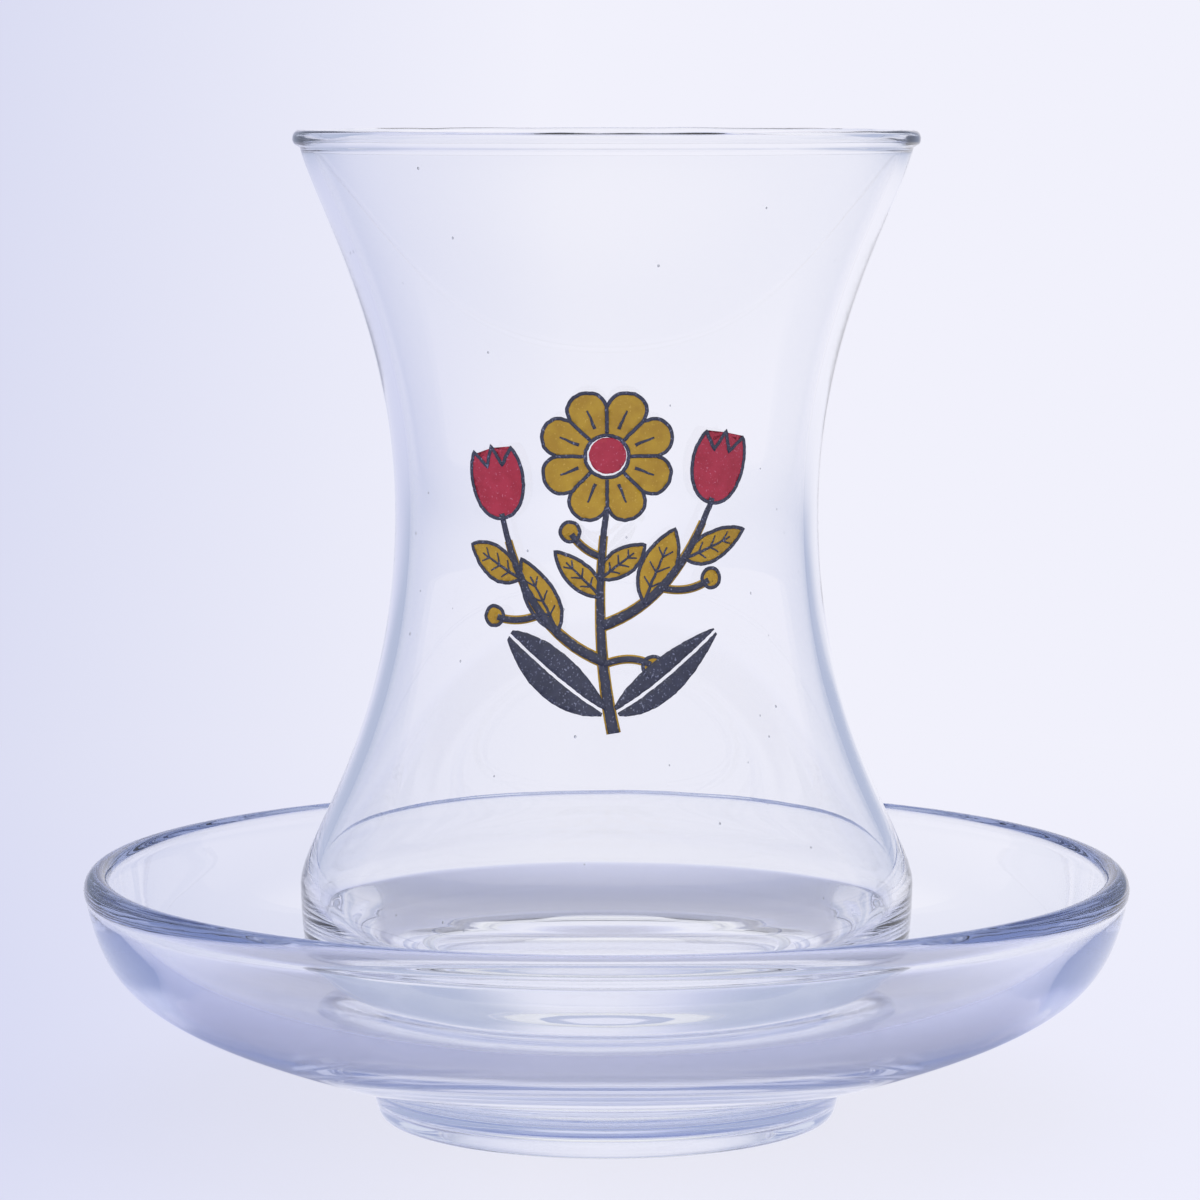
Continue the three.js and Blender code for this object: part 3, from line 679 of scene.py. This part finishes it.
def ink_line(builder, points, start_width, end_width, lift, closed=False):
    """Adds a drawn line as a closed strip of ink that follows the glass."""
    rows = []
    last = len(points) - 1
    for index, point in enumerate(points):
        before = points[index - 1] if closed or index else point
        after = points[(index + 1) % len(points)] if closed or index < last else point
        along = (after - before).normalized()
        width = start_width + (end_width - start_width) * index / last
        side = Vector((-along.y, along.x)) * width / 2
        corners = [(side, 0), (side, INK_THICKNESS), (-side, INK_THICKNESS), (-side, 0)]
        rows.append([builder.verts.new(on_wall(point + aside, lift + rise)) for aside, rise in corners])
    for near, far in zip(rows, rows[1:] + rows[:1] if closed else rows[1:]):
        for k in range(4):
            builder.faces.new((near[k], near[(k + 1) % 4], far[(k + 1) % 4], far[k]))
    if not closed:
        builder.faces.new(rows[0])
        builder.faces.new(rows[-1])


def placed(points, root, degrees):
    """Drawn points turned and moved to their place."""
    turn = Matrix.Rotation(math.radians(degrees), 2)
    return [turn @ Vector(point) + root for point in points]


def disc(centre, radius):
    """Points round a circle."""
    turns = [2 * math.pi * i / DISC_STEPS for i in range(DISC_STEPS)]
    return [centre + Vector((math.cos(a), math.sin(a))) * radius for a in turns]


def stalk_line(stalk):
    """A berry stalk from its stem to its berry."""
    stem, share, bend, end = stalk
    root = bezier(stem, share)
    return curve([root, root + Vector(bend), root + Vector(end)], CURVE_STEPS)


def leaf_edges(leaf):
    """The two edges of a leaf, from its stem to its tip."""
    stem, share, degrees, length, half, bend = leaf
    near, far = [handle * length for handle in LEAF_HANDLES]
    near_half, far_half = [swell * half for swell in LEAF_SWELLS]
    tip = (length, bend)
    one = curve([(0, 0), (near, -near_half), (far, bend - far_half), tip], CURVE_STEPS)
    other = curve([(0, 0), (near, near_half), (far, LEAF_INNER_BEND * bend + far_half), tip], CURVE_STEPS)
    root = bezier(stem, share)
    return placed(one, root, degrees), placed(other, root, degrees)


def leaf_outline(leaf):
    """The closed outline of a leaf."""
    one, other = leaf_edges(leaf)
    return one[:-1] + other[:0:-1]


def fired_ink(name, tone, deep_tone, fleck_tone, fleck_share):
    """Fired ceramic enamel: opaque and satin, slightly uneven in depth, flecked by the screen's threads."""
    material, tree = blank_material(name)
    place = add_node(tree, "TexCoord").outputs["Object"]
    cloud = add_node(tree, "TexNoise", {"Vector": place, "Scale": 1 / (CLOUD_SIZE * MM),
                                        "Detail": 3.0}).outputs["Fac"]
    depth = add_node(tree, "MapRange", {"Value": cloud, "From Min": CLOUD_RANGE[0],
                                        "From Max": CLOUD_RANGE[1]}).outputs[0]
    body = add_node(tree, "Mix", {0: depth, 6: linear(deep_tone), 7: linear(tone)},
                    data_type="RGBA").outputs[2]
    grit = add_node(tree, "TexNoise", {"Vector": place, "Scale": 1 / (GRIT_SIZE * MM),
                                       "Detail": 1.0}).outputs["Fac"]
    flecks = add_node(tree, "MapRange", {"Value": grit, "From Min": FLECK_RANGE[0] - fleck_share,
                                         "From Max": FLECK_RANGE[1], "To Max": FLECK_STRENGTH}).outputs[0]
    shown = add_node(tree, "Mix", {0: flecks, 6: body, 7: linear(fleck_tone)}, data_type="RGBA").outputs[2]
    satin = add_node(tree, "MapRange", {"Value": grit, "To Min": SATIN[0], "To Max": SATIN[1]}).outputs[0]
    bump = add_node(tree, "Bump", {"Height": grit, "Distance": GRIT_HEIGHT * MM, "Strength": 1.0}).outputs[0]
    ink = add_node(tree, "BsdfPrincipled", {"Base Color": shown, "Roughness": satin, "IOR": ENAMEL_IOR,
                                            "Normal": bump})
    add_node(tree, "OutputMaterial", {"Surface": ink.outputs[0]})
    return material


def add_print(name, builder, material, node):
    """A printed piece that stands for a CAD node on the glass."""
    bmesh.ops.recalc_face_normals(builder, faces=builder.faces)
    piece = add_piece(name, builder, material)
    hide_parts(node)
    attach(piece, "glass")


gold_ink = fired_ink("gold_enamel_ink", GOLD, GOLD_DEEP, GOLD_FLECK, 0.0)
gold_leaves = bmesh.new()
for stem in STEMS:
    ink_line(gold_leaves, curve(stem, CURVE_STEPS)[:-2], STEM_WIDTH + UNDERPRINT_MARGIN,
             STEM_TIP_WIDTH + UNDERPRINT_MARGIN, FIRST_INK_LIFT)
for stalk in STALKS:
    stalk_width = STEM_TIP_WIDTH + UNDERPRINT_MARGIN
    ink_line(gold_leaves, stalk_line(stalk), stalk_width, stalk_width, FIRST_INK_LIFT)
    ink_film(gold_leaves, printed_edge(disc(stalk_line(stalk)[-1], BERRY_RADIUS)), FIRST_INK_LIFT)
for leaf in GOLD_LEAVES:
    ink_film(gold_leaves, printed_edge(leaf_outline(leaf)), FIRST_INK_LIFT)
add_print("gold_leaf_print", gold_leaves, gold_ink, "print_gold_leaves")

# Print, first screen: the gold bloom above the main stem, a rosette of eight blunt petals in the same
# fired enamel, left open in the middle for its eye.
BLOOM_CENTRE = Vector((0.0, 10.4))
BLOOM_RADIUS = 6.8
BLOOM_OPENING = 2.15
BLOOM_OPENING_STEPS = 4
PETAL_COUNT = 8
PETAL_HALF_SLICE = math.pi / PETAL_COUNT
PETAL_SWELL = 3.3
PETAL_NEAR = (0.4 * BLOOM_RADIUS, 0.5 * PETAL_SWELL)
PETAL_FAR = (0.95 * BLOOM_RADIUS, PETAL_SWELL)
PETAL_STEPS = 40


def petal_rim():
    """The outer edge of a petal along X, between its neighbours."""
    reach = curve([(0, 0), PETAL_NEAR, PETAL_FAR, (BLOOM_RADIUS, 0)], PETAL_STEPS)
    upper = [p for p in reach if p.x > BLOOM_OPENING and math.atan2(p.y, p.x) < PETAL_HALF_SLICE]
    return [Vector((p.x, -p.y)) for p in upper[:-1]] + upper[::-1]


def petal_outline():
    """The closed outline of that petal, with its share of the opening's edge."""
    turns = [PETAL_HALF_SLICE * (1 - 2 * i / BLOOM_OPENING_STEPS) for i in range(BLOOM_OPENING_STEPS + 1)]
    return petal_rim() + [Vector((math.cos(a), math.sin(a))) * BLOOM_OPENING for a in turns]


petal_turns = [360 * (i + 0.5) / PETAL_COUNT for i in range(PETAL_COUNT)]
gold_bloom = bmesh.new()
for degrees in petal_turns:
    ink_film(gold_bloom, printed_edge(placed(petal_outline(), BLOOM_CENTRE, degrees)), FIRST_INK_LIFT)
add_print("gold_bloom_print", gold_bloom, gold_ink, "print_gold_bloom")

# Print, second screen: the bloom's eye and the two buds in red enamel, fired like the gold. The screen
# was laid a hair off true, so that thin slivers of bare glass show beside the red.
RED_OFF_TRUE = Vector((0.07, 0.09))
RED = "B52F40"
RED_DEEP = "A82636"
RED_FLECK = "C96A78"
RED_FLECK_SHARE = 0.01
EYE_RADIUS = 1.85
BUD_LENGTH = 7.4
BUD_HALF_WIDTH = 2.9
BUD_OVERLAP = 0.5
BUD_SHOULDER = (0.62 * BUD_LENGTH, 1.3 * BUD_HALF_WIDTH)
BUD_CORNER = (0.95 * BUD_LENGTH, 0.75 * BUD_HALF_WIDTH)
BUD_NOTCH = (0.72 * BUD_LENGTH, 0.3 * BUD_HALF_WIDTH)
BUDS = [("left", LEFT_STEM, 98), ("right", RIGHT_STEM, 80)]


def bud_outline(stem, degrees):
    """A closed bud with three points at its top, at the end of its stem."""
    half = curve([(0, 0), (0, BUD_HALF_WIDTH), BUD_SHOULDER, BUD_CORNER], CURVE_STEPS) + [Vector(BUD_NOTCH)]
    mirrored = [Vector((p.x, -p.y)) for p in half[1:]]
    foot = Vector(stem[-1]) + placed([(-BUD_OVERLAP, 0)], Vector((0, 0)), degrees)[0]
    return placed(mirrored + [Vector((BUD_LENGTH, 0))] + half[::-1], foot, degrees)


red_ink = fired_ink("red_enamel_ink", RED, RED_DEEP, RED_FLECK, RED_FLECK_SHARE)
red_eye = bmesh.new()
ink_film(red_eye, printed_edge(disc(BLOOM_CENTRE + RED_OFF_TRUE, EYE_RADIUS)), FIRST_INK_LIFT)
add_print("red_eye_print", red_eye, red_ink, "print_red_eye")
for side, stem, degrees in BUDS:
    red_bud = bmesh.new()
    moved = [point + RED_OFF_TRUE for point in bud_outline(stem, degrees)]
    ink_film(red_bud, printed_edge(moved), FIRST_INK_LIFT)
    add_print(f"red_bud_{side}_print", red_bud, red_ink, f"print_red_bud_{side}")

# Print, third screen: charcoal line work over the colours, with the stems, stalks, veins and outlines
# and the two long leaves at the foot, each split by a bare vein. It is the same enamel in blue-black.
INK_GAP = 0.008
LAST_INK_LIFT = FIRST_INK_LIFT + INK_THICKNESS + INK_GAP
CHARCOAL = "3C3E4E"
CHARCOAL_DEEP = "343644"
CHARCOAL_FLECK = "8C8FA3"
CHARCOAL_FLECK_SHARE = 0.04
KEY_LINE = 0.36
VEIN_WIDTH = 0.34
MIDDLE_VEIN_POINTS = 13
SIDE_VEIN_STEPS = (4, 7, 10)
SIDE_VEIN_REACH = 0.62
SIDE_VEIN_WIDTHS = (0.6 * VEIN_WIDTH, 0.4 * VEIN_WIDTH)
PETAL_FOLD = (0.44 * BLOOM_RADIUS, 0.74 * BLOOM_RADIUS)
BARE_VEIN = 0.3
DARK_LEAVES = [
    (MAIN_STEM, 0.08, 152, 13.2, 2.1, -2.2),
    (MAIN_STEM, 0.08, 27, 14.0, 2.2, 2.4),
]

charcoal_ink = fired_ink("charcoal_enamel_ink", CHARCOAL, CHARCOAL_DEEP, CHARCOAL_FLECK, CHARCOAL_FLECK_SHARE)
charcoal = bmesh.new()
for stem in STEMS:
    ink_line(charcoal, printed_edge(curve(stem, CURVE_STEPS), False), STEM_WIDTH, STEM_TIP_WIDTH, LAST_INK_LIFT)
for stalk in STALKS:
    ink_line(charcoal, stalk_line(stalk)[:-1], STEM_TIP_WIDTH, STEM_TIP_WIDTH, LAST_INK_LIFT)
    berry = printed_edge(disc(stalk_line(stalk)[-1], BERRY_RADIUS))
    ink_line(charcoal, berry, KEY_LINE, KEY_LINE, LAST_INK_LIFT, True)
for leaf in GOLD_LEAVES:
    ink_line(charcoal, printed_edge(leaf_outline(leaf)), KEY_LINE, KEY_LINE, LAST_INK_LIFT, True)
    one, other = leaf_edges(leaf)
    middle = [a.lerp(b, 0.5) for a, b in zip(one, other)]
    ink_line(charcoal, printed_edge(middle[:MIDDLE_VEIN_POINTS], False), VEIN_WIDTH, VEIN_WIDTH / 2,
             LAST_INK_LIFT)
    for step in SIDE_VEIN_STEPS:
        for edge in (one, other):
            vein = [middle[step], middle[step + 1].lerp(edge[step + 2], SIDE_VEIN_REACH)]
            ink_line(charcoal, printed_edge(vein, False), *SIDE_VEIN_WIDTHS, LAST_INK_LIFT)
for degrees in petal_turns:
    rim_start = (BLOOM_OPENING, -BLOOM_OPENING * math.tan(PETAL_HALF_SLICE))
    rim = placed([rim_start, *petal_rim()], BLOOM_CENTRE, degrees)
    ink_line(charcoal, printed_edge(rim, False), KEY_LINE, KEY_LINE, LAST_INK_LIFT)
    fold = placed([(reach, 0) for reach in PETAL_FOLD], BLOOM_CENTRE, degrees)
    ink_line(charcoal, printed_edge(fold, False), VEIN_WIDTH, VEIN_WIDTH / 2, LAST_INK_LIFT)
ink_line(charcoal, printed_edge(disc(BLOOM_CENTRE, BLOOM_OPENING)), KEY_LINE, KEY_LINE, LAST_INK_LIFT, True)
for side, stem, degrees in BUDS:
    ink_line(charcoal, printed_edge(bud_outline(stem, degrees)), KEY_LINE, KEY_LINE, LAST_INK_LIFT, True)
for leaf in DARK_LEAVES:
    one, other = leaf_edges(leaf)
    for edge, far_edge in ((one, other), (other, one)):
        bare = [a.lerp(b, 0.5) + (a - b).normalized() * BARE_VEIN / 2
                for a, b in zip(edge[1:-1], far_edge[1:-1])]
        ink_film(charcoal, printed_edge(edge[1:-1] + bare[::-1]), LAST_INK_LIFT)
add_print("charcoal_line_print", charcoal, charcoal_ink, "print_charcoal_stems")
